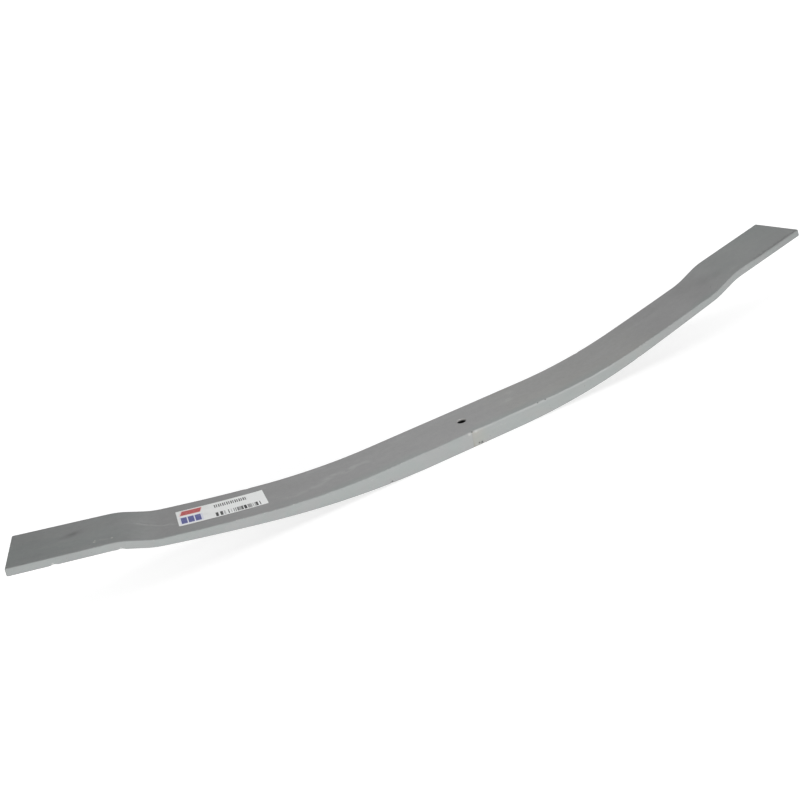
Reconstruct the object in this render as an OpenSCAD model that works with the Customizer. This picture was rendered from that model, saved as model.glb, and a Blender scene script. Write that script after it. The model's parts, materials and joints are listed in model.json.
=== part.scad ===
// Single-leaf suspension spring lying with its bowed side down: one forged bar with a thick
// flat seat in the middle, two tapering arms that sweep upwards, a joggle near each end and a
// flat slipper pad outside each joggle. A paper label is stuck to the top of the left arm.
// Millimetres. X runs along the leaf, Y across it, Z up. The origin is on the axis of the
// centre-bolt hole, in the plane of the seat's underside.

/* [Bar] */
// Width of the flat bar
leaf_w = 80; // [60:1:100]
// Thickness at the seat
seat_t = 24; // [22:0.5:26]
// Thickness half way out along each arm
mid_t = 15; // [14.5:0.5:16]
// Thickness of the slipper pads
pad_t = 11; // [10:0.5:12]
// Radius on the four long edges
edge_r = 1.5; // [1:0.5:3]
// Radius round the two end faces
end_r = 2; // [1:0.5:3.5]

/* [Seat] */
// Length of the flat top of the seat
seat_len = 244; // [236:2:260]
// Diameter of the centre-bolt hole
bolt_hole_d = 13; // [10:0.5:17]
// How far the bolt hole sits from the middle of the leaf, towards the right-hand pad
bolt_offset = 6.5; // [0:0.5:20]

/* [Arms] */
// Length of the inner arc of each arm, where most of the sweep is
inner_len = 161; // [155:1:170]
// Slope of the top face where the inner arc of the left arm ends
left_slope = 9.8; // [9.4:0.1:11.8]
// Slope of the top face where the inner arc of the right arm ends
right_slope = 11.8; // [9.4:0.1:11.8]
// Length of the straighter outer arc of each arm
outer_len = 125; // [120:1:135]
// Slope of the top face where the outer arc ends
outer_slope = 12.6; // [12.2:0.1:13.2]

/* [Joggles and pads] */
// Length along the top face of each of the two bends of a joggle
bend_len = 22; // [20:1:28]
// Length of the straight between the two bends
joggle_len = 19; // [10:1:30]
// Slope of that straight
joggle_slope = 25; // [23:0.5:27]
// Slope of the slipper pads
pad_slope = 11.8; // [9:0.1:14]
// Length of each slipper pad
pad_len = 111.5; // [80:0.5:140]

/* [Label] */
// Length of the label along the arm
label_len = 112; // [80:1:120]
// Width of the label
label_w = 40; // [25:1:50]
// Thickness of the label
label_t = 0.2; // [0.1:0.05:0.4]
// Distance of the label's middle from the bolt hole
label_x = 339.5; // [330:0.5:345]
// Distance of the label's middle from the centre line of the bar
label_y = 1.5; // [-5:0.5:5]
// How far the label is stuck on askew
label_turn = 1.5; // [-3:0.1:3]

/* [Hidden] */
$fn = 72;
// largest turn between two neighbouring flats along the bar
flat_turn = 1;
// flats round each rounded edge
edge_flats = 4;
// how much of the rounding of an end face its two upright corners have
side_share = 0.5;
// angle at which the outer half of an arm thins
taper = atan((mid_t - pad_t) / outer_len);

// The top and the underside of an arm are each a chain of runs from the middle of the leaf
// outwards, written as [length, slope at the far end]. A run starts at the slope the run
// before it ended at, so it is straight where the two are equal and an arc where they differ.
// Both arms are laid out to the right by the slope that their inner arc ends at, which is all
// that they differ in, and the left one is mirrored.

// x and z covered by a run of the given length that turns from slope a to slope b
function travel(len, a, b) =
    a == b
    ? len * [cos(a), sin(a)]
    : len * 180 / PI / (b - a) * [sin(b) - sin(a), cos(a) - cos(b)];

// slope at which run i of a chain starts
function slope_at(chain, i) = i == 0 ? 0 : chain[i - 1][1];

// point at which run i of a chain starts
function start_of(chain, i, origin) =
    i == 0
    ? origin
    : start_of(chain, i - 1, origin)
      + travel(chain[i - 1][0], slope_at(chain, i - 1), chain[i - 1][1]);

// lengths of two runs that lead from one point to another: the first turns from slope a to
// slope b, the second from b to c
function two_runs(from, to, a, b, c) =
    let (u = travel(1, a, b))
    let (v = travel(1, b, c))
    let (way = to - from)
    [cross(way, v), cross(u, way)] / cross(u, v);

// unit vector into the bar from a top face that slopes by a
function inward(a) = [sin(a), -cos(a)];

top_start = [0, seat_t];
function top_line(inner_slope) = [
    [seat_len / 2, 0],
    [inner_len, inner_slope],
    [outer_len, outer_slope],
    [bend_len, joggle_slope],
    [joggle_len, joggle_slope],
    [bend_len, pad_slope],
    [pad_len, pad_slope]
];

// The underside is flat below the seat, then sweeps up more steeply than the top so that the
// arm thins. From the joggle outwards it runs parallel to the top.
under_start = [0, 0];
function under_line(inner_slope) =
    let (top = top_line(inner_slope))
    let (a = inner_slope + taper)
    let (b = outer_slope + taper)
    let (mid = start_of(top, 2, top_start) + mid_t * inward(inner_slope))
    let (joggle = start_of(top, 4, top_start) + pad_t * inward(joggle_slope))
    let (inner = two_runs(under_start, mid, 0, 0, a))
    let (outer = two_runs(mid, joggle, a, b, joggle_slope))
    [
        [inner[0], 0],
        [inner[1], a],
        [outer[0], b],
        [outer[1], joggle_slope],
        [joggle_len, joggle_slope],
        [bend_len - pad_t * (joggle_slope - pad_slope) * PI / 180, pad_slope],
        [pad_len, pad_slope]
    ];

// flats that each run is divided into, the same on both faces
function flats_of(top, under) = [
    for (i = [0 : len(top) - 1])
        let (top_turn = abs(top[i][1] - slope_at(top, i)))
        let (under_turn = abs(under[i][1] - slope_at(under, i)))
        max(1, ceil(max(top_turn, under_turn) / flat_turn))
];

// [x, z, slope] at a distance along run i of a chain
function spot(chain, origin, i, distance) =
    let (a = slope_at(chain, i))
    let (b = a + (chain[i][1] - a) * distance / chain[i][0])
    let (p = start_of(chain, i, origin) + travel(distance, a, b))
    [p[0], p[1], b];

// the spots between flats on the runs from number first to number last
function spots(chain, origin, flats, first, last) = [
    for (i = [first : last])
        for (k = [0 : flats[i] - 1])
            spot(chain, origin, i, chain[i][0] * k / flats[i])
];

// the spots at the end of the pad, where the bar narrows over the end radius
quarter = [for (k = [0 : edge_flats]) 90 * k / edge_flats];
function end_spots(chain, origin) = [
    for (a = quarter)
        spot(chain, origin, len(chain) - 1, pad_len - end_r * (1 - sin(a)))
];

// all the spots of a face, from the middle of the leaf to the end of the pad
function face_spots(chain, origin, flats) =
    concat(spots(chain, origin, flats, 0, len(chain) - 1), end_spots(chain, origin));

// how far each section of an arm is set in from the full size of the bar
function insets_of(sections) = concat(
    [for (i = [1 : sections - len(quarter)]) 0],
    [for (a = quarter) end_r * (1 - cos(a))]
);

// a point at a depth behind a face, at height y across the bar
function behind(place, depth, y) =
    [place[0] + depth * sin(place[2]), y, place[1] - depth * cos(place[2])];

// one cross-section: a ring of points round the rounded rectangle between two spots. Near an
// end it is set in from both faces and, by a smaller share, from both sides.
function section(top, under, inset) =
    let (r = edge_r * (1 - 0.8 * inset / end_r))
    let (half = leaf_w / 2 - side_share * inset - r)
    concat(
        [for (a = quarter) behind(top, inset + r * (1 - sin(a)), -half - r * cos(a))],
        [for (a = quarter) behind(top, inset + r * (1 - cos(a)), half + r * sin(a))],
        [for (a = quarter) behind(under, -inset - r * (1 - sin(a)), half + r * cos(a))],
        [for (a = quarter) behind(under, -inset - r * (1 - cos(a)), -half - r * sin(a))]
    );

// all the sections of an arm, from the middle of the leaf outwards
function arm(inner_slope) =
    let (top = top_line(inner_slope))
    let (under = under_line(inner_slope))
    let (flats = flats_of(top, under))
    let (above = face_spots(top, top_start, flats))
    let (below = face_spots(under, under_start, flats))
    let (insets = insets_of(len(above)))
    [for (i = [0 : len(above) - 1]) section(above[i], below[i], insets[i])];

// a section mirrored into the left-hand arm
function mirrored(ring) = [for (p = ring) [-p[0], p[1], p[2]]];

left_arm = arm(left_slope);
rings = concat(
    [for (i = [len(left_arm) - 1 : -1 : 1]) mirrored(left_arm[i])],
    arm(right_slope)
);
ring_len = 4 * len(quarter);

// The bar as one closed skin stretched over the rings from the left end to the right end
module bar() {
    polyhedron(
        points = [for (ring = rings) for (p = ring) p],
        faces = concat(
            [[for (k = [ring_len - 1 : -1 : 0]) k]],
            [for (i = [0 : len(rings) - 2])
                for (k = [0 : ring_len - 1])
                    let (next = (k + 1) % ring_len)
                    let (row = i * ring_len)
                    [row + k, row + next, row + ring_len + next, row + ring_len + k]],
            [[for (k = [0 : ring_len - 1]) (len(rings) - 1) * ring_len + k]]
        ),
        convexity = 6
    );
}

module leaf() {
    color([0.55, 0.57, 0.57])
        difference() {
            translate([-bolt_offset, 0, 0])
                bar();
            translate([0, 0, -1])
                cylinder(d = bolt_hole_d, h = seat_t + 2);
        }
}

// The label is a strip that lies on the flats of the left arm, trimmed to a rectangle
module label() {
    top = top_line(left_slope);
    flats = flats_of(top, under_line(left_slope));
    arm = spots(top, top_start, flats, 1, 3);
    color([0.93, 0.93, 0.9])
        intersection() {
            translate([-bolt_offset, 0, 0])
                mirror([1, 0, 0])
                    rotate([90, 0, 0])
                        linear_extrude(leaf_w, center = true)
                            polygon(concat(
                                [for (s = arm) [s[0], s[1]]],
                                [for (i = [len(arm) - 1 : -1 : 0])
                                    [arm[i][0], arm[i][1]] - label_t * inward(arm[i][2])]
                            ));
            translate([-label_x, label_y, 0])
                rotate([0, 0, label_turn])
                    translate([-label_len / 2, -label_w / 2, 0])
                        cube([label_len, label_w, seat_t + 150]);
        }
}

leaf();
label();
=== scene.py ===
"""Looks for the single-leaf suspension spring: a primed forged bar with a printed label.

Everything is in metres in the row frame: X along the leaf, Y across it, Z up, and the origin
on the axis of the centre-bolt hole, in the plane of the seat's underside.
"""

import json
import math

import bpy
import numpy as np
from mathutils import Matrix, Vector, noise


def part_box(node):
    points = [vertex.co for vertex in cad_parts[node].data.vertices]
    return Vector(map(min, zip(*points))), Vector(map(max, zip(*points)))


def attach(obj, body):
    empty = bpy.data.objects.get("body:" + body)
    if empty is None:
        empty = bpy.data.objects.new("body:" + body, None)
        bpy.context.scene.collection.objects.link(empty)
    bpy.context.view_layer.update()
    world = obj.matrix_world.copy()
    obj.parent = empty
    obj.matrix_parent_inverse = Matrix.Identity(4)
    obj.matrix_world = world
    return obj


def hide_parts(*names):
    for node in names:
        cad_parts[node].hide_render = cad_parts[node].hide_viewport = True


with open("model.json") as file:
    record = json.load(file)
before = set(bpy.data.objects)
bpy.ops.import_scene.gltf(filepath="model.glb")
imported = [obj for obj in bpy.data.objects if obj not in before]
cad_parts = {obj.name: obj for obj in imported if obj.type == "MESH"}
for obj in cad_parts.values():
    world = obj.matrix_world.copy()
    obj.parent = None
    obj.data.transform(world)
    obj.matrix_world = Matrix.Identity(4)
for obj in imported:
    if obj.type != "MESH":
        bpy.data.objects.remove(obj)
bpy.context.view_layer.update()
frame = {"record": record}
record = frame["record"]
scene = bpy.context.scene
MM = 0.001

# ---- driving sizes
# The width and the hole come from the record, and the rest is as in the part's source.

leaf_low, leaf_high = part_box("leaf")
hole = next(m for m in record["mounts"] if m["name"] == "centre_bolt_hole")

LEAF_W = leaf_high.y - leaf_low.y
SEAT_T = hole["dims"]["length_mm"] * MM
HOLE_R = hole["dims"]["r_mm"] * MM
# x of the middle of the leaf's length
LEAF_MIDDLE = -6.5 * MM
MID_T = 15 * MM
PAD_T = 11 * MM
EDGE_R = 1.5 * MM
END_R = 2 * MM
# How much of the ends' rounding narrows the bar, and how much finer the long edges get there
END_SIDE_SHARE = 0.5
END_EDGE_LOSS = 0.8

# The runs of an arm, from the middle of the leaf outwards
SEAT_HALF = 122 * MM
INNER_LEN = 161 * MM
LEFT_SLOPE = math.radians(9.8)
RIGHT_SLOPE = math.radians(11.8)
OUTER_LEN = 125 * MM
OUTER_SLOPE = math.radians(12.6)
BEND_LEN = 22 * MM
JOGGLE_LEN = 19 * MM
JOGGLE_SLOPE = math.radians(25)
PAD_LEN = 111.5 * MM
PAD_SLOPE = math.radians(11.8)
TAPER = math.atan((MID_T - PAD_T) / OUTER_LEN)

# The label, and the place of its middle
LABEL_LEN = 112 * MM
LABEL_W = 40 * MM
LABEL_T = 0.2 * MM
LABEL_X = -339.5 * MM
LABEL_Y = 1.5 * MM
LABEL_TURN = math.radians(1.5)

# Side of the quads of the bar's mesh, and the number of cross-sections that its top is known at
GRID = 2.5 * MM
TOP_LINE_STEPS = 2400

# ---- the two faces of an arm
# The top and the underside of an arm are chains of runs, [length, slope at the far end], from
# the middle of the leaf to the end of the pad. A run whose slope changes is an arc.

# Slopes, and lengths in metres, that differ by less than these count as the same
SAME_SLOPE = 1e-9
SAME_LENGTH = 1e-9


def travel(length, a, b):
    """x and z covered by a run that turns from slope a to slope b."""
    if abs(b - a) < SAME_SLOPE:
        return np.array([length * math.cos(a), length * math.sin(a)])
    r = length / (b - a)
    return r * np.array([math.sin(b) - math.sin(a), math.cos(a) - math.cos(b)])


def inward(a):
    """Unit vector into the bar from a top face that slopes by a."""
    return np.array([math.sin(a), -math.cos(a)])


def joints_of(chain, start):
    """Points and slopes at which the runs of a chain meet, with the start and the end."""
    places = [(np.array(start, float), 0.0)]
    for length, slope in chain:
        point, before = places[-1]
        places.append((point + travel(length, before, slope), slope))
    return places


def two_runs(start, end, a, b, c):
    """Lengths of two runs from start to end: one turns from slope a to b, the next to c."""
    u, v = travel(1, a, b), travel(1, b, c)
    return np.linalg.solve(np.column_stack([u, v]), end - start)


def spot_on(chain, places, distance):
    """[x, z, slope] at a distance along a chain."""
    for (length, slope), (point, before) in zip(chain, places):
        if distance <= length + SAME_LENGTH:
            here = before + (slope - before) * distance / length
            x, z = point + travel(distance, before, here)
            return x, z, here
        distance -= length
    point, slope = places[-1]
    return point[0], point[1], slope


# The sections stay upright out to here, so that the bolt hole's patch fits between them.
UPRIGHT = 50 * MM


class Arm:
    """The two faces of one arm, laid out to the right from the middle of the leaf. The inner
    slope, where the inner arc ends, is all that the two arms differ in."""

    def __init__(self, inner_slope):
        self.top = [
            (SEAT_HALF, 0),
            (INNER_LEN, inner_slope),
            (OUTER_LEN, OUTER_SLOPE),
            (BEND_LEN, JOGGLE_SLOPE),
            (JOGGLE_LEN, JOGGLE_SLOPE),
            (BEND_LEN, PAD_SLOPE),
            (PAD_LEN, PAD_SLOPE),
        ]
        self.top_places = joints_of(self.top, (0, SEAT_T))
        mid = self.top_places[2][0] + MID_T * inward(inner_slope)
        joggle = self.top_places[4][0] + PAD_T * inward(JOGGLE_SLOPE)
        a, b = inner_slope + TAPER, OUTER_SLOPE + TAPER
        flat_len, sweep_len = two_runs(np.zeros(2), mid, 0, 0, a)
        outer_len, bend_len = two_runs(mid, joggle, a, b, JOGGLE_SLOPE)
        self.under = [
            (flat_len, 0),
            (sweep_len, a),
            (outer_len, b),
            (bend_len, JOGGLE_SLOPE),
            (JOGGLE_LEN, JOGGLE_SLOPE),
            (BEND_LEN - PAD_T * (JOGGLE_SLOPE - PAD_SLOPE), PAD_SLOPE),
            (PAD_LEN, PAD_SLOPE),
        ]
        self.under_places = joints_of(self.under, (0, 0))
        self.top_marks = self.marks(self.top)
        self.under_marks = self.marks(self.under)

    def marks(self, chain):
        """Distances along a face that belong to the same cross-sections on both faces."""
        return [0, UPRIGHT] + list(np.cumsum([run[0] for run in chain])[1:])

    def section(self, along):
        """The spots on the top and on the underside of the cross-section at a distance."""
        below = float(np.interp(along, self.top_marks, self.under_marks))
        top = spot_on(self.top, self.top_places, along)
        return top, spot_on(self.under, self.under_places, below)


left_arm = Arm(LEFT_SLOPE)
right_arm = Arm(RIGHT_SLOPE)
top_len = left_arm.top_marks[-1]


def section_at(distance):
    """The top spot and the underside spot of the cross-section at a signed distance along
    the top face from the middle of the leaf. Negative is the left-hand arm."""
    arm, side = (left_arm, -1) if distance < 0 else (right_arm, 1)
    spots = arm.section(abs(distance))
    return [(LEAF_MIDDLE + side * x, z, side * slope) for x, z, slope in spots]


top_line = [section_at(d)[0] for d in np.linspace(-top_len, top_len, TOP_LINE_STEPS)]
top_xs, top_zs, top_slopes = np.array(top_line).T


def height_at(x):
    """Height of the top face at a plan position."""
    return float(np.interp(x, top_xs, top_zs))


# ---- small unevenness of the forging
# How far the broad faces and the sides lie inside the part's, so that no wave passes it
FACE_SET_IN = 0.12 * MM
SIDE_SET_IN = 0.13 * MM
# The unevenness dies away over this length at each end of the bar
FADE_LEN = 12 * MM
# The underside is flat out to here from the hole, and fully uneven at twice the distance
FLAT_UNDER = 50 * MM


def wander(x, y, z, scale, seed):
    """Smooth noise from about -1 to 1 that changes over lengths of about scale."""
    return noise.noise(Vector((x / scale + seed, y / scale - seed, z / scale)))


def fade(x):
    """1 along the bar, falling to 0 at its two ends, where the box of the bar is measured."""
    from_end = min(x - leaf_low.x, leaf_high.x - x)
    return min(1, max(0, from_end / FADE_LEN))


def top_ripple(x, y):
    """Height of the rolled top face above its true surface."""
    broad = 0.09 * MM * wander(x, y, 0, 60 * MM, 3.1)
    fine = 0.03 * MM * wander(x, y, 0, 14 * MM, 7.7)
    return (broad + fine - FACE_SET_IN) * fade(x)


def under_ripple(x, y):
    """The same for the underside, which the seat keeps flat near the middle."""
    free = min(1, max(0, abs(x) / FLAT_UNDER - 1))
    broad = 0.10 * MM * wander(x, y, 1, 60 * MM, 11.3)
    return (broad - FACE_SET_IN) * free * fade(x)


def side_ripple(x, z, side):
    """How far a narrow side stands out from its true plane: rolled, so slightly uneven."""
    broad = 0.10 * MM * wander(x, side, z, 90 * MM, 17.9)
    fine = 0.04 * MM * wander(x, side, z, 9 * MM, 23.3)
    return (broad + fine - SIDE_SET_IN) * fade(x)


# Dents along the long edges: [x, side, face, radius, depth], with side -1 for the near edge
# and face 1 for the top.
DENTS = [
    (-0.0074, -1, 1, 4.0 * MM, 0.9 * MM),
    (0.0012, -1, 1, 4.5 * MM, 1.0 * MM),
    (-0.128, -1, -1, 4.0 * MM, 0.8 * MM),
    (-0.461, -1, -1, 5.0 * MM, 2.2 * MM),
    (-0.533, -1, -1, 4.2 * MM, 2.4 * MM),
    (0.1000, -1, 1, 3.5 * MM, 0.6 * MM),
    (0.1110, -1, 1, 3.5 * MM, 0.6 * MM),
    (0.268, -1, -1, 4.0 * MM, 0.7 * MM),
    (0.402, -1, 1, 5.0 * MM, 0.8 * MM),
    (-0.302, 1, 1, 5.0 * MM, 0.9 * MM),
    (0.216, 1, 1, 4.0 * MM, 0.8 * MM),
    (0.488, 1, -1, 5.0 * MM, 1.0 * MM),
]
# How far the dents reach onto the broad faces
DENT_REACH = 3.5 * MM
# Share of a dent's depth that goes into each of the two faces that meet at the edge
DENT_SHARE = 0.7


def dent_depth(point, edge):
    """How far a point on an edge is pushed into the bar by the dents near it."""
    side, face = edge
    depth = 0.0
    for x, dent_side, dent_face, radius, deep in DENTS:
        if (side, face) != (dent_side, dent_face):
            continue
        away = abs(point[0] - x) / radius
        if away < 1:
            depth = max(depth, deep * (1 - away * away) ** 2)
    return depth


# ---- mesh helpers
SHARP = math.radians(35)


def mesh_object(name, verts, faces, material):
    """A smooth-shaded object with sharp edges wherever its faces turn by more than SHARP."""
    mesh = bpy.data.meshes.new(name)
    mesh.from_pydata([tuple(v) for v in verts], [], faces)
    mesh.validate()
    mesh.update()
    mesh.materials.append(material)
    mesh.shade_smooth()
    mesh.set_sharp_from_angle(angle=SHARP)
    piece = bpy.data.objects.new(name, mesh)
    scene.collection.objects.link(piece)
    return piece


def set_attribute(piece, name, values):
    """Gives each vertex a value that the material reads by name."""
    attribute = piece.data.attributes.new(name, "FLOAT", "POINT")
    attribute.data.foreach_set("value", np.array(values, np.float32))


# ---- the leaf's mesh
CORNER_STEPS = 6
SIDE_STEPS = 3
HOLE_STEPS = 6
# Half the side of the square round the hole, and how far each of its rings has turned round
PATCH_HALF = 7 * GRID
PATCH_SHARES = (0.3, 0.55, 0.75, 0.9, 1.0)
# The ends are more finely rounded than the part's, which makes them stand out by this much
END_MARGIN = 0.1 * MM
RIM_CHAMFER = 0.5 * MM
# How worn the paint is at the hole's mouth and on its chamfer
MOUTH_WEAR = 0.6
CHAMFER_WEAR = 0.8

half_flat = LEAF_W / 2 - EDGE_R
inner_rows = math.floor(half_flat / GRID - 0.2)
rows = [-half_flat] + [GRID * k for k in range(-inner_rows, inner_rows + 1)] + [half_flat]


def ring_plan():
    """The points round a cross-section in order. Each is (face, row or None, corner angle,
    side, step down the side), with face 1 for the top and -1 for the underside."""
    quarter = [math.pi / 2 * k / CORNER_STEPS for k in range(1, CORNER_STEPS + 1)]
    plan = [(1, y, 0, 0, 0) for y in rows]
    plan += [(1, None, a, 1, 0) for a in quarter]
    plan += [(0, None, 0, 1, k / SIDE_STEPS) for k in range(1, SIDE_STEPS)]
    plan += [(-1, None, a, 1, 0) for a in reversed(quarter)]
    plan += [(-1, y, 0, 0, 0) for y in reversed(rows)]
    plan += [(-1, None, a, -1, 0) for a in quarter]
    plan += [(0, None, 0, -1, 1 - k / SIDE_STEPS) for k in range(1, SIDE_STEPS)]
    plan += [(1, None, a, -1, 0) for a in reversed(quarter)]
    return plan


PLAN = ring_plan()


def behind(spot, depth, y):
    """The point at a depth below a spot on the top face, at y across the bar."""
    x, z, slope = spot
    return np.array([x + depth * math.sin(slope), y, z - depth * math.cos(slope)])


def ring(distance, inset):
    """Points and wear of the cross-section at a distance, set in by inset near an end."""
    top, under = section_at(distance)
    r = EDGE_R * (1 - END_EDGE_LOSS * inset / END_R)
    half = LEAF_W / 2 - END_SIDE_SHARE * inset - r
    points, wear = [], []
    for face, y, angle, side, down in PLAN:
        spot = top if face >= 0 else under
        sign = 1 if face >= 0 else -1
        worn = 0
        if y is not None:
            x = spot[0]
            y = y * half / half_flat
            ripple = top_ripple(x, y) if face > 0 else under_ripple(x, y)
            point = behind(spot, sign * inset - sign * ripple, y)
            reach = max(0, 1 - (half - abs(y)) / DENT_REACH)
            dent = dent_depth(point, (math.copysign(1, y), face)) * reach
            point[2] -= sign * dent * DENT_SHARE
        elif face:
            depth = inset + r * (1 - math.cos(angle))
            point = behind(spot, sign * depth, side * (half + r * math.sin(angle)))
            rise = top_ripple(point[0], point[1]) if face > 0 else 0
            push = side_ripple(point[0], point[2], side) * math.sin(angle)
            dent = dent_depth(point, (side, face)) * math.sin(2 * angle)
            point[1] += side * (push - dent * DENT_SHARE)
            point[2] += rise * math.cos(angle) - sign * dent * DENT_SHARE
            worn = math.sin(2 * angle)
        else:
            high = behind(top, inset + r, side * (half + r))
            low = behind(under, -inset - r, side * (half + r))
            point = high + (low - high) * down
            point[1] += side * side_ripple(point[0], point[2], side)
        points.append(point)
        wear.append(worn)
    return points, wear


def stations():
    """Distances of the cross-sections along the top face, from the left end to the right,
    with how far each is set in. The ones near the hole fall on the hole's patch."""
    plain = top_len - END_R - END_MARGIN
    offset = -LEAF_MIDDLE
    left = math.floor((plain + offset) / GRID)
    right = math.floor((plain - offset) / GRID)
    body = [(offset + GRID * k, 0) for k in range(-left, right + 1)]
    angles = [math.pi / 2 * k / CORNER_STEPS for k in range(CORNER_STEPS + 1)]
    end = [(plain + END_R * math.sin(a), END_R * (1 - math.cos(a))) for a in angles]
    body = [b for b in body if plain - abs(b[0]) > GRID / 3]
    return [(-d, i) for d, i in reversed(end)] + body + end


def leaf_mesh():
    """The bar's vertices, their wear, and its faces: a tube of cross-sections with closed
    ends, a patch round each mouth of the hole, and the hole's wall."""
    verts, wear, faces = [], [], []
    marks = stations()
    count = len(PLAN)
    for distance, inset in marks:
        points, worn = ring(distance, inset)
        verts += points
        wear += worn
    xs = [verts[i * count][0] for i in range(len(marks))]

    def in_patch(i, k):
        """Is the quad from ring i and point k part of the square round the hole?"""
        a, b = PLAN[k], PLAN[(k + 1) % count]
        if a[1] is None or b[1] is None or a[0] != b[0]:
            return False
        inside = PATCH_HALF + GRID / 4
        return (
            max(abs(xs[i]), abs(xs[i + 1])) < inside
            and max(abs(a[1]), abs(b[1])) < inside
        )

    patch_edges = {1: {}, -1: {}}
    for i in range(len(marks) - 1):
        for k in range(count):
            n = (k + 1) % count
            quad = (i * count + k, i * count + n, (i + 1) * count + n, (i + 1) * count + k)
            if in_patch(i, k):
                face = PLAN[k][0]
                for a, b in zip(quad, quad[1:] + quad[:1]):
                    if (b, a) in patch_edges[face]:
                        del patch_edges[face][(b, a)]
                    else:
                        patch_edges[face][(a, b)] = True
            else:
                faces.append(quad)
    faces.append(tuple(range(count - 1, -1, -1)))
    last = (len(marks) - 1) * count
    faces.append(tuple(range(last, last + count)))

    rims = [hole_patch(verts, wear, faces, patch_edges[face], face) for face in (1, -1)]
    hole_wall(verts, wear, faces, *rims)
    return verts, wear, faces


def loop_of(edges):
    """The vertices of a closed chain of directed edges, in order."""
    following = dict(edges)
    start = next(iter(following))
    loop, here = [start], following[start]
    while here != start:
        loop.append(here)
        here = following[here]
    return loop


def join_rings(faces, rings):
    """Adds the quads between each closed ring of vertices and the next one."""
    for outer, inner in zip(rings, rings[1:]):
        for k in range(len(outer)):
            n = (k + 1) % len(outer)
            faces.append((outer[k], outer[n], inner[n], inner[k]))


def hole_patch(verts, wear, faces, edges, face):
    """Fills the square round the hole with rings that turn from square to round, down to
    the chamfer at the hole's mouth. Returns the chamfer's inner ring of vertices."""
    loop = loop_of(edges.keys())
    level = SEAT_T if face > 0 else 0
    rings = [loop]
    mouth = HOLE_R + RIM_CHAMFER
    for share in PATCH_SHARES:
        new = []
        for v in loop:
            x, y = verts[v][0], verts[v][1]
            away = math.hypot(x, y)
            radius = away + (mouth - away) * share
            px, py = x / away * radius, y / away * radius
            ripple = top_ripple(px, py) if face > 0 else 0
            verts.append(np.array([px, py, level + ripple * (1 - share)]))
            wear.append(MOUTH_WEAR if share == 1.0 else 0)
            new.append(len(verts) - 1)
        rings.append(new)
    inner = []
    for v in loop:
        angle = math.atan2(verts[v][1], verts[v][0])
        x, y = HOLE_R * math.cos(angle), HOLE_R * math.sin(angle)
        verts.append(np.array([x, y, level - face * RIM_CHAMFER]))
        wear.append(CHAMFER_WEAR)
        inner.append(len(verts) - 1)
    join_rings(faces, rings + [inner])
    return inner


def hole_wall(verts, wear, faces, top_rim, under_rim):
    """Joins the two mouths of the hole with its round wall."""

    def angle(v):
        return math.atan2(verts[v][1], verts[v][0])

    top_rim, under_rim = sorted(top_rim, key=angle), sorted(under_rim, key=angle)
    rings = [top_rim]
    for k in range(1, HOLE_STEPS):
        new = []
        for a, b in zip(top_rim, under_rim):
            verts.append(verts[a] + (verts[b] - verts[a]) * k / HOLE_STEPS)
            wear.append(0)
            new.append(len(verts) - 1)
        rings.append(new)
    join_rings(faces, rings + [under_rim])


# ---- soft marks on the paint
# Pale patches on the top face, each [x, y, half length in mm, half width in mm, turn in
# degrees, strength]
SCUFFS = [
    (-0.202, -0.004, 12, 6.0, 0, 0.5),
    (-0.166, 0.000, 7, 3.5, 0, 0.6),
    (-0.236, 0.031, 12, 3.5, 0, 0.4),
    (-0.300, -0.020, 20, 3.0, 3, 0.3),
    (-0.125, -0.007, 7, 3.5, 0, 0.4),
    (-0.082, 0.025, 10, 5.0, 0, 0.6),
    (-0.436, 0.010, 12, 5.0, -20, 0.3),
    (0.075, 0.003, 8, 6.0, 10, 0.9),
    (0.089, 0.022, 7, 6.0, 0, 0.6),
    (0.168, 0.034, 20, 4.0, 5, 0.4),
    (0.300, 0.012, 26, 3.0, -4, 0.3),
    (0.457, -0.026, 9, 5.0, 20, 0.7),
]
# Darker smudges on the top face, in the same form. The two at the right-hand joggle bend are
# painted shade.
SMUDGES_AND_SHADE = [
    (-0.511, 0.006, 6, 5.0, 0, 0.9),
    (-0.519, 0.002, 7, 4.0, 0, 0.35),
    (-0.504, 0.010, 6, 4.5, 0, 0.35),
    (-0.554, 0.004, 18, 12.0, 0, 0.2),
    (-0.545, -0.026, 14, 6.0, 0, 0.2),
    # These two are painted shade at the right-hand joggle bend
    (0.424, -0.002, 14, 12.0, 0, 0.3),
    (0.437, -0.012, 8, 8.0, 0, 0.3),
    (0.350, 0.020, 20, 8.0, 0, 0.2),
]
# Rubbed lines on the top face. Each bends through three points [x, y] in mm, and has a half
# width in mm and a strength.
STREAKS = [
    ((-268, -17), (-247, -18), (-228, -13), 6.0, 0.45),
    ((-231, -11), (-218, -12), (-203, -8), 7.0, 0.45),
    ((-214, -12), (-203, -3), (-192, 1), 8.0, 0.40),
    ((-206, -1), (-191, 1), (-173, -1), 7.0, 0.50),
    ((-180, -5), (-170, -2), (-160, -3), 5.0, 0.40),
    ((-174, 1), (-158, 4), (-137, -1), 6.5, 0.60),
    ((-226, 32), (-210, 33), (-192, 33), 6.0, 0.50),
    ((-446, 8), (-430, 0), (-394, -12), 3.2, 0.75),
    ((-482, -24), (-475, -26), (-468, -27), 2.0, 0.40),
]
# Painted light and shade along the top and along the sides: darker at the bends and at the
# sides' ends, paler on the right-hand pad. Each is [x, share of its usual paleness]
TOP_PAINTED_SHADING = [
    (-0.480, 1.00), (-0.450, 0.88), (-0.420, 1.00), (-0.300, 1.02), (-0.060, 1.02), (0.000, 1.01),
    (0.200, 0.99), (0.260, 0.98), (0.300, 0.94), (0.370, 1.00), (0.420, 0.90), (0.450, 1.00),
    (0.490, 1.10), (0.560, 1.14),
]
SIDE_PAINTED_SHADING = [
    (-0.530, 0.97), (-0.510, 0.92), (-0.480, 1.02), (0.260, 1.03), (0.300, 1.00), (0.500, 0.98),
    (0.550, 0.85),
]


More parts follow.
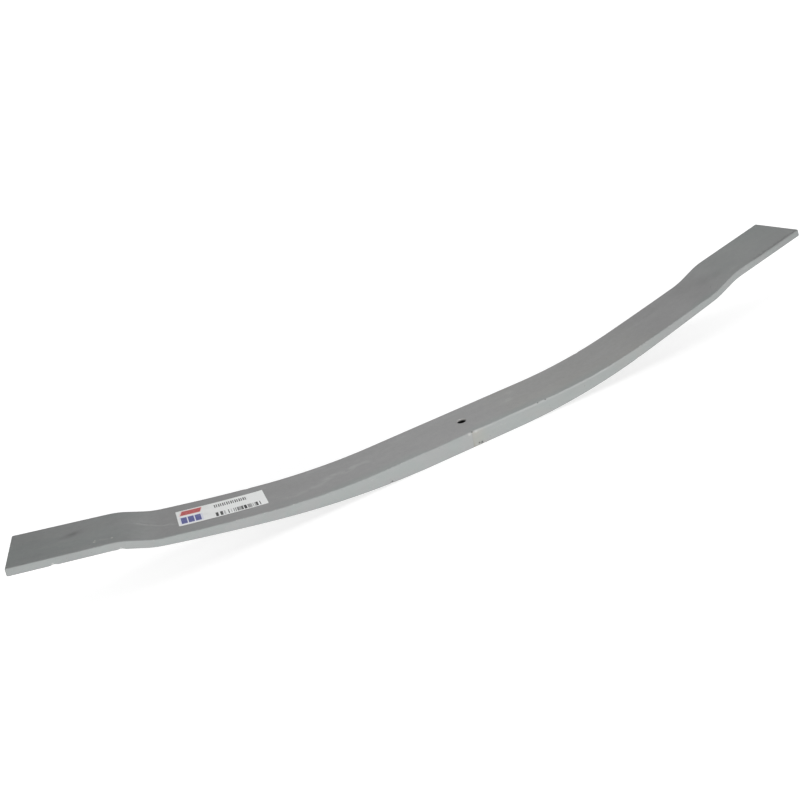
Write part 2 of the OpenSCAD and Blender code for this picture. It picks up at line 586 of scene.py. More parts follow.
def painted_shading_along(tones):
    """The painted light and shade as a function of x, from pairs of x and share."""
    xs, shares = zip(*tones)
    return lambda x: float(np.interp(x, xs, shares))


def mark_strength(x, y, marks):
    """How strongly a list of soft marks covers a place on the top face, up to 1."""
    total = 0.0
    for cx, cy, half_len, half_wide, turn, strength in marks:
        a = math.radians(turn)
        along = ((x - cx) * math.cos(a) + (y - cy) * math.sin(a)) / (half_len * MM)
        across = ((y - cy) * math.cos(a) - (x - cx) * math.sin(a)) / (half_wide * MM)
        total += strength * math.exp(-along * along - across * across)
    return min(1, total)


# ---- material helpers


class Nodes:
    """A few shorthands for building a node tree."""

    def __init__(self, name):
        self.material = bpy.data.materials.new(name)
        self.material.use_nodes = True
        self.tree = self.material.node_tree
        self.shader = self.tree.nodes["Principled BSDF"]

    def add(self, kind, inputs=None, **settings):
        node = self.tree.nodes.new(kind)
        for key, value in settings.items():
            setattr(node, key, value)
        for key, value in (inputs or {}).items():
            self.feed(node.inputs[key], value)
        return node

    def feed(self, socket, value):
        if isinstance(value, bpy.types.NodeSocket):
            self.tree.links.new(value, socket)
        else:
            socket.default_value = value

    def math(self, operation, a, b=None):
        node = self.add("ShaderNodeMath", operation=operation)
        self.feed(node.inputs[0], a)
        if b is not None:
            self.feed(node.inputs[1], b)
        return node.outputs[0]

    def times(self, first, *others):
        """The product of one or more values."""
        total = first
        for value in others:
            total = self.math("MULTIPLY", total, value)
        return total

    def highest(self, first, *others):
        """The highest of one or more values."""
        total = first
        for value in others:
            total = self.math("MAXIMUM", total, value)
        return total

    def plus(self, a, b):
        return self.math("ADD", a, b)

    def minus(self, a, b):
        return self.math("SUBTRACT", a, b)

    def noise(self, place, scale, detail=3, roughness=0.5):
        node = self.add(
            "ShaderNodeTexNoise",
            {"Vector": place, "Scale": scale, "Detail": detail, "Roughness": roughness},
        )
        return node.outputs["Fac"]

    def ramp(self, value, low, high, to_low=0.0, to_high=1.0):
        """A smooth step from to_low at low to to_high at high."""
        node = self.add("ShaderNodeMapRange", {"Value": value}, interpolation_type="SMOOTHSTEP")
        node.clamp = True
        limits = {"From Min": low, "From Max": high, "To Min": to_low, "To Max": to_high}
        for key, limit in limits.items():
            self.feed(node.inputs[key], limit)
        return node.outputs["Result"]

    def mix(self, share, a, b, blend="MIX"):
        node = self.add("ShaderNodeMix", data_type="RGBA", blend_type=blend)
        self.feed(node.inputs["Factor"], share)
        colours = [s for s in node.inputs if s.type == "RGBA"]
        self.feed(colours[0], a)
        self.feed(colours[1], b)
        return next(s for s in node.outputs if s.type == "RGBA")

    def attribute(self, name):
        return self.add("ShaderNodeAttribute", attribute_name=name).outputs["Fac"]

    def place(self, stretch=None):
        """Position in the row frame, in metres, optionally stretched by axis."""
        spot = self.add("ShaderNodeTexCoord").outputs["Object"]
        if stretch is None:
            return spot
        node = self.add("ShaderNodeVectorMath", operation="MULTIPLY")
        self.feed(node.inputs[0], spot)
        node.inputs[1].default_value = stretch
        return node.outputs[0]

    def near(self, place, centre, radius, soft):
        """1 within radius of a point, falling to 0 over soft beyond it."""
        node = self.add("ShaderNodeVectorMath", operation="DISTANCE")
        self.feed(node.inputs[0], place)
        node.inputs[1].default_value = centre
        return self.ramp(node.outputs["Value"], radius, radius + soft, 1, 0)


def grey(value, tint=(1, 1, 1)):
    return (value * tint[0], value * tint[1], value * tint[2], 1)


# ---- the leaf's paint
PRIMER = grey(0.265)
PRIMER_WARM = grey(0.265, (1.005, 1.005, 0.975))
PRIMER_COOL = grey(0.265, (0.945, 1.01, 0.99))
PRIMER_PALE = grey(0.42, (0.99, 1, 1.01))
PRIMER_DARK = grey(0.15)
BARE_STEEL = grey(0.5, (1.0, 0.985, 0.96))
RUST_TINT = (0.315, 0.292, 0.24, 1)
BROWN_TINT = (0.20, 0.19, 0.16, 1)
SPOT_BLACK = grey(0.06)
NEAR_SIDE = -LEAF_W / 2
# Small spots, each [x, y, z, radius, softness]
BRIGHT_SPOTS = [
    (-0.4862, -0.0270, height_at(-0.4862), 1.0 * MM, 0.9 * MM),
    (-0.4855, -0.0235, height_at(-0.4855), 0.5 * MM, 0.8 * MM),
    (-0.4669, -0.0265, height_at(-0.4669), 0.9 * MM, 0.9 * MM),
    (-0.5334, NEAR_SIDE + 1.7 * MM, 0.0884, 1.5 * MM, 1.0 * MM),
    (-0.4610, NEAR_SIDE + 1.7 * MM, 0.0726, 1.2 * MM, 1.0 * MM),
]
SOFT_CHIPS = [
    (-0.0074, NEAR_SIDE, 0.0220, 0.8 * MM, 2.8 * MM),
    (0.0022, NEAR_SIDE, 0.0222, 0.4 * MM, 3.4 * MM),
]
DARK_SPOTS = [
    (0.0031, NEAR_SIDE, 0.0038, 0.9 * MM, 0.9 * MM),
    (0.0072, NEAR_SIDE, 0.0030, 1.2 * MM, 0.9 * MM),
    (-0.0035, NEAR_SIDE, SEAT_T, 1.0 * MM, 1.2 * MM),
    (0.0996, NEAR_SIDE, SEAT_T, 1.1 * MM, 0.9 * MM),
    (0.1118, NEAR_SIDE, SEAT_T, 1.1 * MM, 0.9 * MM),
    (-0.1276, NEAR_SIDE, 0.0042, 0.9 * MM, 0.8 * MM),
]
CENTRE_MARK_X = -0.0037
CENTRE_MARK_LEAN = 0.1
# Stretches over which the paint changes: the first and the last x, or y across the bar
COOL_FROM = (0.40, 0.46)
COOL_EDGE_FROM = (-20 * MM, -36 * MM)
COOL_EDGE_SHARE = 0.8
WARM_FROM = (0.03, 0.08)
WARM_UNTIL = (0.27, 0.32)
# Where the painted highlight along the near top edge begins and ends, in x
EDGE_HIGHLIGHT_FROM = (-10 * MM, 5 * MM)
EDGE_HIGHLIGHT_UNTIL = (0.20, 0.26)
DIRT_FROM = (0.46, 0.50)
FLECKS_FROM = (0.47, 0.50)
# Distances to the right of the centre mark over which its stain dies away
STAIN_FADE = (3 * MM, 30 * MM)
# How strongly each kind of mark covers the paint under it
CLOUD_COVER = 0.08
GRAIN_COVER = 0.12
SCUFF_COVER = 0.3
STREAK_COVER = 0.45
SMUDGE_AND_SHADE_COVER = 0.85
SCRATCH_COVER = 0.3
STAIN_COVER = 0.45
BROWN_COVER = 0.4
CENTRE_MARK_COVER = 0.15
SOFT_CHIP_COVER = 0.5
CHIP_COVER = 0.55
BRIGHT_COVER = 0.75
# How strongly the painted highlight along the near top edge covers the paint
EDGE_HIGHLIGHT_COVER = 0.45
FLECK_COVER = 0.38
SPECK_SHARE = 0.6
SPOT_COVER = 0.8
# How strongly the painted highlight covers the bolt hole's wall
BORE_HIGHLIGHT_COVER = 0.8
# The least and the most rough that the paint is
PRIMER_ROUGH = (0.50, 0.64)
# The bolt hole's wall has a pale painted highlight at its mouth and a nearly black painted shade
# below
BORE_SHADE_TOP = SEAT_T - 1.6 * MM
BORE_SHADE_FULL = SEAT_T - 3.6 * MM
BORE_PAINTED_SHADE = grey(0.012)


class LeafPaint(Nodes):
    """The leaf's node tree: places and masks that its layers share, and the colour so far.
    Scales of noise are in waves per metre."""

    def __init__(self):
        super().__init__("grey_primer")
        self.spot = self.place()
        self.along = self.place((0.25, 1, 1))
        axes = self.add("ShaderNodeSeparateXYZ", {"Vector": self.spot}).outputs
        self.x, self.y, self.z = axes["X"], axes["Y"], axes["Z"]
        self.from_middle = self.math("ABSOLUTE", self.x)
        self.upper = self.attribute("upper")
        self.edge = self.attribute("edge")
        self.cloud = self.noise(self.along, 55, 4, 0.6)
        self.specks = self.ramp(self.noise(self.spot, 420, 2, 0.5), 0.735, 0.77)
        self.colour = None

    def cover(self, colour, *shares):
        """Lays a colour over the paint so far, as strongly as the product of the shares."""
        self.colour = self.mix(self.times(*shares), self.colour, colour)

    def spots(self, places):
        """1 in each of a list of small spots."""
        return self.highest(*[self.near(self.spot, s[:3], s[3], s[4]) for s in places])

    def streak(self, y, points, half_wide):
        """1 along a line that bends through three points [x, y] in mm on the top face."""
        xs, ys = np.array(points).T * MM
        square, straight, level = np.polyfit(xs, ys, 2)
        line = self.plus(self.times(self.x, square), straight)
        line = self.plus(self.times(self.x, line), level)
        away = self.math("ABSOLUTE", self.minus(y, line))
        across = self.ramp(away, 0.1 * half_wide * MM, half_wide * MM, 1, 0)
        soft = (xs[2] - xs[0]) * 0.2
        left_end = self.ramp(self.x, xs[0], xs[0] + soft)
        right_end = self.ramp(self.x, xs[2] - soft, xs[2], 1, 0)
        return self.times(across, left_end, right_end)

    def base_coat(self):
        """The paint is cooler on the narrow sides, towards the ends and in places along the
        near edge, and a little warmer right of the seat. Painted light and shade along the bar
        make it darker or paler in places. Its film is slightly uneven."""
        patches = self.ramp(self.noise(self.along, 22, 2), 0.3, 0.7)
        from_line = self.math("ABSOLUTE", self.y)
        on_sides = self.ramp(from_line, LEAF_W / 2 - EDGE_R, LEAF_W / 2 - EDGE_R / 2)
        on_sides = self.times(on_sides, self.ramp(self.noise(self.spot, 45, 2), 0.4, 0.6, 0.45, 1))
        near_edge = self.ramp(self.y, *COOL_EDGE_FROM, 0, COOL_EDGE_SHARE)
        near_edge = self.times(near_edge, self.ramp(self.noise(self.along, 34, 1), 0.48, 0.62))
        outer = self.ramp(self.from_middle, *COOL_FROM)
        outer = self.times(outer, self.ramp(patches, 0, 1, 0.45, 1))
        warm = self.times(self.ramp(self.x, *WARM_FROM), self.ramp(self.x, *WARM_UNTIL, 1, 0))
        warm = self.times(warm, self.ramp(patches, 0, 1, 0.4, 1))
        self.colour = self.mix(warm, PRIMER, PRIMER_WARM)
        self.cover(PRIMER_COOL, self.highest(outer, on_sides, near_edge))
        # Painted light and shade along the bar, from one table for the top and one for the sides
        self.colour = self.mix(1.0, self.colour, self.attribute("painted_shading"), blend="MULTIPLY")
        self.cover(PRIMER_PALE, self.ramp(self.cloud, 0.35, 0.7, 0, CLOUD_COVER))
        grain = self.noise(self.spot, 900, 3, 0.6)
        self.cover(PRIMER_DARK, self.ramp(grain, 0.4, 0.75, 0, GRAIN_COVER))

    def rubs(self):
        """Rubbed patches and lines, and dark smudges with some painted shade, broken up by noise.
        Returns the rubs.
        """
        shred = self.noise(self.place((0.45, 1, 1)), 230, 4, 0.6)
        wobble = self.times(self.minus(self.noise(self.spot, 70, 2), 0.5), 6 * MM)
        wavy = self.plus(self.y, wobble)
        streaks = [self.times(self.streak(wavy, s[:3], s[3]), s[4]) for s in STREAKS]
        scuff = self.times(self.attribute("scuff"), self.ramp(shred, 0.38, 0.6, 0.25, 1))
        broken = self.ramp(shred, 0.38, 0.55, 0.25, 1)
        lines = self.times(self.highest(*streaks), broken, self.upper)
        smudge_and_shade = self.times(self.attribute("smudge_and_shade"), self.ramp(self.cloud, 0.25, 0.45, 0.6, 1))
        self.cover(PRIMER_PALE, scuff, SCUFF_COVER)
        self.cover(PRIMER_PALE, lines, STREAK_COVER)
        self.cover(PRIMER_DARK, smudge_and_shade, SMUDGE_AND_SHADE_COVER)
        return self.highest(scuff, lines)

    def scratches(self):
        """Hairline scratches here and there, running mostly along the bar."""
        fine = self.noise(self.place((0.05, 1, 1)), 1500, 1, 0.4)
        where = self.ramp(self.noise(self.spot, 28, 2), 0.56, 0.66)
        self.cover(PRIMER_PALE, self.ramp(fine, 0.69, 0.72), where, SCRATCH_COVER)

    def centre_mark(self):
        """The centre mark on the near side, with a stain to the right of it that is browner
        low down. Returns the mark's line."""
        on_side = self.ramp(self.y, NEAR_SIDE + 0.4 * MM, NEAR_SIDE + 1.4 * MM, 1, 0)
        lean = self.times(self.minus(SEAT_T, self.z), CENTRE_MARK_LEAN)
        from_mark = self.plus(self.minus(self.x, CENTRE_MARK_X), lean)
        right = self.ramp(from_mark, -0.3 * MM, 0.3 * MM)
        stain = self.times(right, self.ramp(from_mark, *STAIN_FADE, 1, 0), on_side)
        stain = self.times(stain, self.ramp(self.cloud, 0.2, 0.6, 0.3, 0.75))
        low = self.times(self.ramp(self.z, 3 * MM, 12 * MM, 1, 0.2), right, on_side)
        low = self.times(low, self.ramp(from_mark, 0.5 * MM, 4 * MM, 1, 0))
        line = self.ramp(self.math("ABSOLUTE", from_mark), 0.2 * MM, 0.8 * MM, 1, 0)
        line = self.times(line, on_side)
        self.cover(RUST_TINT, stain, STAIN_COVER)
        self.cover(BROWN_TINT, low, BROWN_COVER)
        self.cover(PRIMER_DARK, line, CENTRE_MARK_COVER)
        return line

    def bare_steel(self):
        """Paint knocked off the long edges, the hole's mouth and a few single spots. The top's
        near edge gets a pale painted highlight right of the seat. Returns how bare the steel is."""
        ragged = self.noise(self.spot, 260, 4, 0.6)
        soft = self.times(self.spots(SOFT_CHIPS), self.ramp(ragged, 0.3, 0.6, 0.4, 1))
        chips = self.times(self.edge, self.ramp(ragged, 0.58, 0.68), CHIP_COVER)
        bare = self.highest(chips, self.times(self.spots(BRIGHT_SPOTS), BRIGHT_COVER))
        # A pale painted highlight on the rounded near top edge right of the seat, broken up by
        # noise
        worn = self.times(self.ramp(self.x, *EDGE_HIGHLIGHT_FROM), self.ramp(self.x, *EDGE_HIGHLIGHT_UNTIL, 1, 0))
        worn = self.times(worn, self.ramp(self.noise(self.along, 90, 3), 0.35, 0.6, 0.3, 1))
        near = self.ramp(self.y, -30 * MM, -35 * MM)
        rim = self.times(self.ramp(self.attribute("rim"), 0.6, 1.0), near)
        self.cover(BARE_STEEL, soft, SOFT_CHIP_COVER)
        self.cover(BARE_STEEL, bare)
        self.cover(PRIMER_PALE, worn, rim, EDGE_HIGHLIGHT_COVER)
        return bare

    def dirt(self):
        """The edges are dirty, most of all at the pads, where the right-hand pad has a ragged
        dark line along its near edge. Dark specks lie all over."""
        patchy = self.ramp(self.noise(self.along, 120, 3), 0.4, 0.65, 0.1, 0.4)
        at_pads = self.ramp(self.from_middle, *DIRT_FROM, 0, 0.35)
        self.cover(PRIMER_DARK, self.plus(patchy, at_pads), self.edge)
        ragged = self.times(self.minus(self.noise(self.spot, 240, 3, 0.6), 0.5), 14 * MM)
        flecks = self.ramp(self.plus(self.y, ragged), -35.5 * MM, -37 * MM)
        flecks = self.times(flecks, self.upper, self.ramp(self.x, *FLECKS_FROM))
        self.cover(PRIMER_DARK, flecks, FLECK_COVER)
        dark = self.highest(self.spots(DARK_SPOTS), self.times(self.specks, SPECK_SHARE))
        self.cover(SPOT_BLACK, dark, SPOT_COVER)

    def bore_wall(self):
        """The wall of the bolt hole, with a pale painted highlight at its mouth and a nearly black
        painted shade below.
        """
        from_axis = self.add("ShaderNodeVectorMath", operation="LENGTH")
        self.feed(from_axis.inputs[0], self.place((1, 1, 0)))
        near, far = HOLE_R + 0.1 * MM, HOLE_R + 0.4 * MM
        bore = self.ramp(from_axis.outputs["Value"], near, far, 1, 0)
        # Painted highlight over the whole wall, then painted shade, nearly black, deeper down
        self.cover(BARE_STEEL, bore, BORE_HIGHLIGHT_COVER)
        self.cover(BORE_PAINTED_SHADE, bore, self.ramp(self.z, BORE_SHADE_FULL, BORE_SHADE_TOP, 1, 0))

    def surface(self, rubbed, line, bare):
        """Roughness and relief: shot-blasted texture under the paint, and shallow pits. The
        heights are in mm, because the bump's distance is one."""
        rough = self.ramp(self.noise(self.spot, 140, 4, 0.6), 0.3, 0.7, *PRIMER_ROUGH)
        rough = self.minus(rough, self.times(rubbed, 0.08))
        rough = self.minus(rough, self.times(bare, 0.15))
        blasted = self.noise(self.spot, 1100, 4, 0.6)
        waves = self.noise(self.along, 75, 3, 0.5)
        height = self.plus(self.times(blasted, 0.05), self.times(waves, 0.25))
        for mask, depth in ((self.specks, 0.15), (bare, 0.08), (line, 0.15)):
            height = self.minus(height, self.times(mask, depth))
        bump = self.add("ShaderNodeBump", {"Height": height, "Strength": 0.6, "Distance": MM})
        self.feed(self.shader.inputs["Base Color"], self.colour)
        self.feed(self.shader.inputs["Roughness"], rough)
        self.feed(self.shader.inputs["Metallic"], self.times(bare, 0.6))
        self.shader.inputs["Specular IOR Level"].default_value = 0.4
        self.feed(self.shader.inputs["Normal"], bump.outputs["Normal"])


def primer():
    paint = LeafPaint()
    paint.base_coat()
    rubbed = paint.rubs()
    paint.scratches()
    line = paint.centre_mark()
    bare = paint.bare_steel()
    paint.dirt()
    paint.bore_wall()
    paint.surface(rubbed, line, bare)
    return paint.material


# ---- the label's print
# Shares of the label's length, from its left-hand end, and of its width, from its far edge
RED_BAR = (0.065, 0.285, 0.07, 0.35)
BLUE_BAR = (0.035, 0.265, 0.50, 0.90)
DASHES = (0.42, 0.80, 0.15, 0.36)
STRIPES = (0.40, 0.935, 0.70, 0.96)
DASH_COUNT = 8
DASH_STROKES = 2
STRIPE_COUNT = 100
STRIPE_GROUPS = 30
BLOCK_COUNT = 3
STRIPE_SEED = 7.0
GROUP_SEED = 3.0
# How much of each step is inked, and the share of stripes that are left white
BLOCK_SHARE = 0.84
DASH_SHARE = 0.74
STROKE_SHARE = 0.62
STRIPE_GAPS = 0.38
RED_SLANT = 0.1
HALO_COVER = 0.45
PAPER = (0.84, 0.85, 0.845, 1)
PAPER_FIBRE = (0.77, 0.78, 0.775, 1)
PAPER_GRIME = (0.62, 0.63, 0.615, 1)
RED_HALO = (0.80, 0.50, 0.50, 1)
BLUE_HALO = (0.62, 0.62, 0.82, 1)
RED_INK = (0.50, 0.075, 0.075, 1)
BLUE_INK = (0.085, 0.095, 0.30, 1)
BLACK_INK = grey(0.02)
GREY_INK = grey(0.10)
# The least and the most rough that the paper is
LABEL_ROUGH = (0.38, 0.52)


def print_mask(n, u, v, box, slant=0.0, soft=0.004):
    """1 inside a box on the label, with its upright ends leaning by slant."""
    left, right, top, bottom = box
    shifted = n.plus(u, n.times(n.minus(v, top), slant))
    left_end = n.ramp(shifted, left - soft, left + soft)
    right_end = n.ramp(shifted, right - soft, right + soft, 1, 0)
    soft_v = soft * LABEL_LEN / LABEL_W
    far_end = n.ramp(v, top - soft_v, top + soft_v)
    near_end = n.ramp(v, bottom - soft_v, bottom + soft_v, 1, 0)
    return n.times(left_end, right_end, far_end, near_end)


def grown(box, by_u, by_v):
    """A box on the label made larger all round."""
    left, right, top, bottom = box
    return (left - by_u, right + by_u, top - by_v, bottom + by_v)


def cell_values(n, u, count, seed):
    """A random number from 0 to 1 for each of a count of equal cells along the label."""
    cell = n.math("FLOOR", n.times(u, count))
    noise_node = n.add("ShaderNodeTexWhiteNoise", noise_dimensions="1D")
    n.feed(noise_node.inputs["W"], n.plus(cell, seed))
    return noise_node.outputs["Value"]


def teeth(n, u, box, count, share):
    """1 over the first share of each of a count of equal steps along a box on the label."""
    pitch = (box[1] - box[0]) / count
    step = n.math("DIVIDE", n.minus(u, box[0]), pitch)
    return n.math("LESS_THAN", n.math("FRACT", step), share)


def red_print(n, u, v, fade, colour):
    """The slanted bar, in a pale halo."""
    halo = print_mask(n, u, v, grown(RED_BAR, 0.012, 0.035), slant=RED_SLANT, soft=0.008)
    colour = n.mix(n.times(halo, HALO_COVER), colour, RED_HALO)
    return n.mix(n.times(print_mask(n, u, v, RED_BAR, slant=RED_SLANT), fade), colour, RED_INK)


def blue_print(n, u, v, fade, colour):
    """The blocks, in a pale halo."""
    halo = print_mask(n, u, v, grown(BLUE_BAR, 0.012, 0.03), soft=0.008)
    colour = n.mix(n.times(halo, HALO_COVER), colour, BLUE_HALO)
    blocks = teeth(n, u, BLUE_BAR, BLOCK_COUNT, BLOCK_SHARE)
    blue = n.times(print_mask(n, u, v, BLUE_BAR, soft=0.003), fade, blocks)
    return n.mix(blue, colour, BLUE_INK)


def grey_print(n, u, v, fade, colour):
    """A row of dashes, each of a few plain strokes."""
    dashes = teeth(n, u, DASHES, DASH_COUNT, DASH_SHARE)
    strokes = teeth(n, u, DASHES, DASH_COUNT * DASH_STROKES, STROKE_SHARE)
    mask = n.times(print_mask(n, u, v, DASHES), dashes, strokes, fade)
    return n.mix(mask, colour, GREY_INK)


def black_print(n, u, v, fade, colour):
    """Stripes of random widths, some groups of them paler."""
    stripe = cell_values(n, u, STRIPE_COUNT, STRIPE_SEED)
    inked = n.math("GREATER_THAN", stripe, STRIPE_GAPS)
    group = n.ramp(cell_values(n, u, STRIPE_GROUPS, GROUP_SEED), 0.1, 0.5, 0.4, 1)
    mask = n.times(print_mask(n, u, v, STRIPES, soft=0.001), inked, group, fade)
    return n.mix(mask, colour, BLACK_INK)


def printed_label():
    n = Nodes("printed_label")
    uv = n.add("ShaderNodeSeparateXYZ", {"Vector": n.add("ShaderNodeTexCoord").outputs["UV"]})
    u, v = uv.outputs["X"], uv.outputs["Y"]
    spot = n.place()
    fibres = n.noise(spot, 700, 4, 0.6)
    paper = n.mix(n.ramp(fibres, 0.35, 0.7, 0, 0.5), PAPER, PAPER_FIBRE)
    paper = n.mix(n.ramp(n.noise(spot, 60, 3), 0.5, 0.75, 0, 0.25), paper, PAPER_GRIME)

    fade = n.ramp(n.noise(spot, 900, 3), 0.25, 0.5, 0.75, 1)
    colour = paper
    for layer in (red_print, blue_print, grey_print, black_print):
        colour = layer(n, u, v, fade, colour)
    worn = n.ramp(n.noise(spot, 330, 4, 0.7), 0.66, 0.72, 0, 0.5)
    n.feed(n.shader.inputs["Base Color"], n.mix(worn, colour, paper))
    n.feed(n.shader.inputs["Roughness"], n.ramp(fibres, 0.3, 0.7, *LABEL_ROUGH))
    n.feed(n.shader.inputs["Specular IOR Level"], 0.4)
    wrinkle = n.noise(n.place((1, 0.5, 1)), 90, 3)
    height = n.plus(n.times(fibres, 0.03), n.times(wrinkle, 0.12))
    bump = n.add("ShaderNodeBump", {"Height": height, "Strength": 0.5, "Distance": MM})
    n.feed(n.shader.inputs["Normal"], bump.outputs["Normal"])
    return n.material


# ---- build the leaf
# Depths below the top face that still count as the top, and as the rim of its long edges
TOP_BAND = 3 * MM
RIM_BAND = 1.2 * EDGE_R


def build_leaf():
    verts, wear, faces = leaf_mesh()
    piece = mesh_object("spring_leaf", verts, faces, primer())
    side_painted_shading, top_painted_shading = painted_shading_along(SIDE_PAINTED_SHADING), painted_shading_along(TOP_PAINTED_SHADING)
    values = {"edge": wear, "upper": [], "rim": [], "scuff": [], "smudge_and_shade": [], "painted_shading": []}
    for x, y, z in verts:
        below_top = height_at(x) - z
        beyond_flat = abs(y) - (LEAF_W / 2 - EDGE_R)
        upper = below_top < TOP_BAND
        values["upper"].append(upper)
        values["rim"].append(beyond_flat > 0 and below_top < RIM_BAND)
        values["scuff"].append(upper * mark_strength(x, y, SCUFFS))
        values["smudge_and_shade"].append(upper * mark_strength(x, y, SMUDGES_AND_SHADE))
        # Painted light and shade: the sides' table from halfway round the long edges, the top's
        # elsewhere
        values["painted_shading"].append(side_painted_shading(x) if beyond_flat > EDGE_R / 2 else top_painted_shading(x))
    for name, marks in values.items():
        set_attribute(piece, name, marks)
    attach(piece, "root")
    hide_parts("leaf")


# ---- build the label
LABEL_CORNER_R = 1.2 * MM
LABEL_STEP = 1.5 * MM
# One corner and one end stand off the bar: how high, and over what length
CORNER_LIFT = 0.5 * MM
CORNER_REACH = 9 * MM
END_LIFT = 0.12 * MM
END_REACH = 4 * MM
# Thickness of the glue
GLUE_T = 0.02 * MM


def on_top(x, y, height):
    """The point at a height above the leaf's top face, over a plan position."""
    slope = float(np.interp(x, top_xs, top_slopes))
    base = height_at(x) + top_ripple(x, y)
    return np.array([x - height * math.sin(slope), y, base + height * math.cos(slope)])


def label_lift(u, v):
    """The label has come slightly unstuck at one corner and along one end."""
    corner = max(0, 1 - math.hypot((1 - u) * LABEL_LEN, v * LABEL_W) / CORNER_REACH)
    end = max(0, 1 - u * LABEL_LEN / END_REACH)
    return CORNER_LIFT * corner ** 2 + END_LIFT * end ** 2


def rounded(u, v):
    """Moves a point of the unit square so that the label's corners come out rounded."""
    x, y = (u - 0.5) * LABEL_LEN, (v - 0.5) * LABEL_W
    r = LABEL_CORNER_R
    over_x = abs(x) - (LABEL_LEN / 2 - r)
    over_y = abs(y) - (LABEL_W / 2 - r)
    if over_x > 0 and over_y > 0:
        longest = max(over_x, over_y)
        shrink = longest / math.hypot(over_x, over_y)
        x = math.copysign(LABEL_LEN / 2 - r + over_x * shrink, x)
        y = math.copysign(LABEL_W / 2 - r + over_y * shrink, y)
    return x, y


def label_lines(length):
    """Grid lines across the label, with a few extra near both edges for the corners."""
    inner = list(np.linspace(LABEL_CORNER_R, length - LABEL_CORNER_R, round(length / LABEL_STEP)))
    edge = [LABEL_CORNER_R * k / 3 for k in range(3)]
    return [d / length for d in edge + inner + [length - e for e in reversed(edge)]]


def build_label():
    us, vs = label_lines(LABEL_LEN), label_lines(LABEL_W)
    slope = float(np.interp(LABEL_X, top_xs, top_slopes))
    verts, faces, coords = [], [], []
    for side in (1, 0):
        for u in us:
            for v in vs:
                x, y = rounded(u, v)
                x, y = (
                    x * math.cos(LABEL_TURN) - y * math.sin(LABEL_TURN),
                    x * math.sin(LABEL_TURN) + y * math.cos(LABEL_TURN),
                )
                lift = label_lift(u, 1 - v)
                height = lift + (LABEL_T if side else GLUE_T)
                verts.append(on_top(LABEL_X + x * math.cos(slope), LABEL_Y + y, height))
                coords.append((u, 1 - v))
    nu, nv = len(us), len(vs)

    def at(side, i, j):
        return (0 if side else nu * nv) + i * nv + j

    for i in range(nu - 1):
        for j in range(nv - 1):
            faces.append((at(1, i, j), at(1, i + 1, j), at(1, i + 1, j + 1), at(1, i, j + 1)))
            faces.append((at(0, i, j + 1), at(0, i + 1, j + 1), at(0, i + 1, j), at(0, i, j)))
    border = [(i, 0) for i in range(nu)]
    border += [(nu - 1, j) for j in range(1, nv)]
    border += [(i, nv - 1) for i in range(nu - 2, -1, -1)]
    border += [(0, j) for j in range(nv - 2, 0, -1)]
    for a, b in zip(border, border[1:] + border[:1]):
        faces.append((at(1, *a), at(0, *a), at(0, *b), at(1, *b)))
    piece = mesh_object("paper_label", verts, faces, printed_label())
    layer = piece.data.uv_layers.new(name="print")
    for loop in piece.data.loops:
        layer.data[loop.index].uv = coords[loop.vertex_index]
    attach(piece, "root")
    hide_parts("label")


build_leaf()
build_label()

# ---- floor, light and camera
# The floor glows, and more so far from the lamps, so that it stays evenly pale. Under the
# bolt hole it doesn't, so that the hole stays dark. The glow dies away up the wall, so that
# the lamps and not the room give the leaf its light and shade.
FLOOR_FLAT = 4.0
FLOOR_BEND = 2.0
FLOOR_WALL = 3.0
FLOOR_GREY = 0.45
GLOW_NEAR = 0.66
GLOW_FAR = 1.0
GLOW_START = 0.15
GLOW_END = 1.05
GLOW_TOP = 0.25
UNDER_SEAT = (0.01, 0.03)
CURVE_STEPS = 12
FLOOR_SIDES = 96
WORLD_STRENGTH = 0.06


def floor_material():
    n = Nodes("studio_floor")
    n.feed(n.shader.inputs["Base Color"], grey(FLOOR_GREY))
    n.feed(n.shader.inputs["Roughness"], 0.9)
    n.feed(n.shader.inputs["Specular IOR Level"], 0.1)
    n.feed(n.shader.inputs["Emission Color"], (1, 1, 1, 1))
    away = n.add("ShaderNodeVectorMath", operation="LENGTH")
    n.feed(away.inputs[0], n.place())
    glow = n.ramp(away.outputs["Value"], GLOW_START, GLOW_END, GLOW_NEAR, GLOW_FAR)
    height = n.add("ShaderNodeSeparateXYZ", {"Vector": n.place()}).outputs["Z"]
    dying = n.ramp(height, 0.7 * FLOOR_BEND, 1.3 * FLOOR_BEND, 1, GLOW_TOP)
    beyond_hole = n.ramp(away.outputs["Value"], *UNDER_SEAT)
    n.feed(n.shader.inputs["Emission Strength"], n.times(glow, beyond_hole, dying))
    return n.material


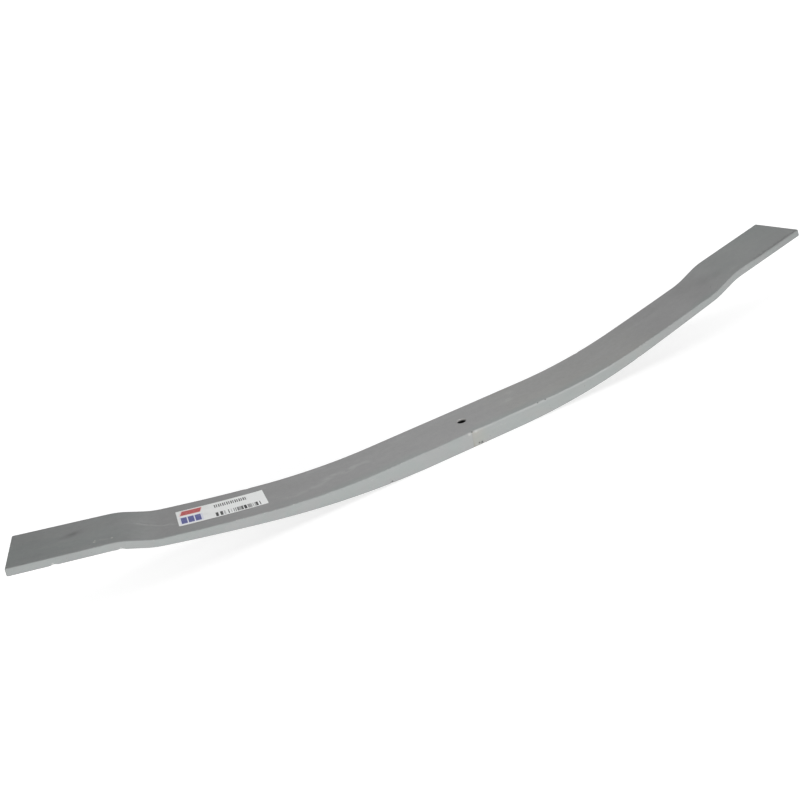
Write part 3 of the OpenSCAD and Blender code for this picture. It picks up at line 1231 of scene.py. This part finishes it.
def build_floor():
    """A round studio sweep: a flat disc whose rim curves up into a wall."""
    profile = [(0.0, 0.0), (FLOOR_FLAT, 0.0)]
    for k in range(1, CURVE_STEPS + 1):
        a = math.pi / 2 * k / CURVE_STEPS
        profile.append((FLOOR_FLAT + FLOOR_BEND * math.sin(a), FLOOR_BEND * (1 - math.cos(a))))
    profile.append((FLOOR_FLAT + FLOOR_BEND, FLOOR_BEND + FLOOR_WALL))
    verts, faces = [(0, 0, 0)], []
    for r, z in profile[1:]:
        for k in range(FLOOR_SIDES):
            a = 2 * math.pi * k / FLOOR_SIDES
            verts.append((r * math.cos(a), r * math.sin(a), z))
    for k in range(FLOOR_SIDES):
        n = (k + 1) % FLOOR_SIDES
        faces.append((0, 1 + k, 1 + n))
        for level in range(len(profile) - 2):
            low, high = 1 + level * FLOOR_SIDES, 1 + (level + 1) * FLOOR_SIDES
            faces.append((low + k, high + k, high + n, low + n))
    floor = mesh_object("studio_floor", verts, faces, floor_material())


def add_light(name, place, target, size, power):
    lamp = bpy.data.lights.new(name, "AREA")
    lamp.shape = "RECTANGLE"
    lamp.size, lamp.size_y = size
    lamp.energy = power
    holder = bpy.data.objects.new(name, lamp)
    holder.location = place
    holder.rotation_euler = (Vector(target) - Vector(place)).to_track_quat("-Z", "Y").to_euler()
    holder.visible_camera = False
    scene.collection.objects.link(holder)


def build_lights():
    add_light("softbox_above", (0.02, -0.06, 0.6), (0.02, 0, 0), (0.6, 0.5), 2.5)
    add_light("softbox_front", (-0.25, -1.5, 0.22), (-0.15, 0, 0.04), (1.4, 0.4), 13.0)
    world = bpy.data.worlds.new("studio")
    world.use_nodes = True
    room = world.node_tree.nodes["Background"].inputs
    room["Color"].default_value = (1, 1, 1, 1)
    room["Strength"].default_value = WORLD_STRENGTH
    scene.world = world


CAMERA_PLACE = (-0.3051, -0.8823, 0.4944)
CAMERA_YAW = math.radians(14.594)
CAMERA_PITCH = math.radians(23.930)
CAMERA_ROLL = math.radians(16.926)
CAMERA_LENS = 33.839


def build_camera():
    lens = bpy.data.cameras.new("camera")
    lens.sensor_width = 36
    lens.lens = CAMERA_LENS
    lens.clip_start = 0.01
    camera = bpy.data.objects.new("camera", lens)
    turn = Matrix.Rotation(-CAMERA_YAW, 4, "Z")
    tilt = Matrix.Rotation(math.pi / 2 - CAMERA_PITCH, 4, "X")
    roll = Matrix.Rotation(-CAMERA_ROLL, 4, "Z")
    camera.matrix_world = Matrix.Translation(CAMERA_PLACE) @ turn @ tilt @ roll
    scene.collection.objects.link(camera)
    bpy.context.scene.camera = camera


build_floor()
build_lights()
build_camera()
scene.view_settings.view_transform = "Standard"

bpy.context.view_layer.update()
